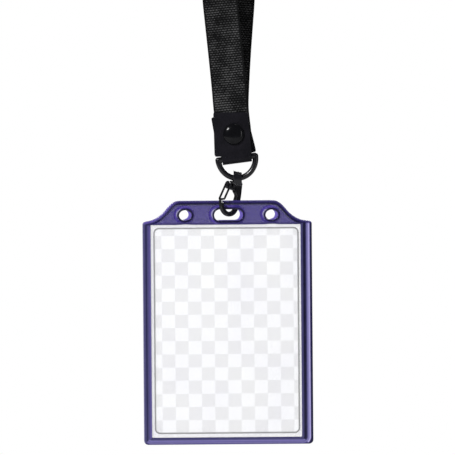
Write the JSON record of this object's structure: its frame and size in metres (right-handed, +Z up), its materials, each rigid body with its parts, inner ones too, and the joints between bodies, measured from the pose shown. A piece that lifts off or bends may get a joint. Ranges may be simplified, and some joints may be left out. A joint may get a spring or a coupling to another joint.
{
  "type": "lanyard badge holder",
  "caption": "Webbing neck strap with a riveted tab, D-ring and wire-gate hook, carrying a soft vinyl card holder with clear windows and a slide-in card.",
  "frame": {"origin": "the middle of the webbing at the top of the strap's loop, where the lanyard hangs", "axes": "+Z up, along the hanging lanyard; +X to the right and -Y towards the viewer, seen from the front of the card holder"},
  "size_m": [0.0862, 0.0252, 0.2504],
  "materials": {
    "webbing": "ribbed woven polyester, matt black",
    "tab": "smooth coated strip, satin black",
    "rivet": "gloss black",
    "ring": "gloss black",
    "hook": "gloss black",
    "gate_wire": "satin black",
    "vinyl": "soft dark violet vinyl, glossy",
    "clear_vinyl": "clear soft sheet, glossy",
    "card": "smooth card with a pale check print"
  },
  "bodies": {
    "lanyard": {"neck_strap": "webbing", "connector_tab": "tab", "rivet_cap": "rivet", "rivet_back": "rivet"},
    "ring": {"d_ring": "ring"},
    "hook": {"hook_body": "hook"},
    "gate": {"wire_gate": "gate_wire"},
    "holder": {"front_frame": "vinyl", "rear_frame": "vinyl", "front_window": "clear_vinyl", "rear_window": "clear_vinyl"},
    "card": {"insert_card": "card"}
  },
  "joints": [
    {"name": "ring_swing", "type": "hinge", "parent": "lanyard", "child": "ring", "pos_m": [0.0052, 0, -0.1038], "axis": [0.9925, 0, 0.1219], "range_deg": [-90, 90]},
    {"name": "hook_swing", "type": "hinge", "parent": "ring", "child": "hook", "pos_m": [0.0056, 0, -0.1141], "axis": [1, 0, 0], "range_deg": [-60, 60]},
    {"name": "gate_open", "type": "hinge", "parent": "hook", "child": "gate", "pos_m": [0.00136, -0.00049, -0.1159], "axis": [0.7071, -0.7071, 0], "range_deg": [0, 7]},
    {"name": "holder_swing", "type": "hinge", "parent": "hook", "child": "holder", "pos_m": [0.00135, -0.0005, -0.1295], "axis": [0.7071, 0.7071, 0], "range_deg": [-15, 4]},
    {"name": "card_slide", "type": "slide", "parent": "holder", "child": "card", "axis": [1, 0, 0], "range_m": [-0.0015, 0.07]}
  ]
}
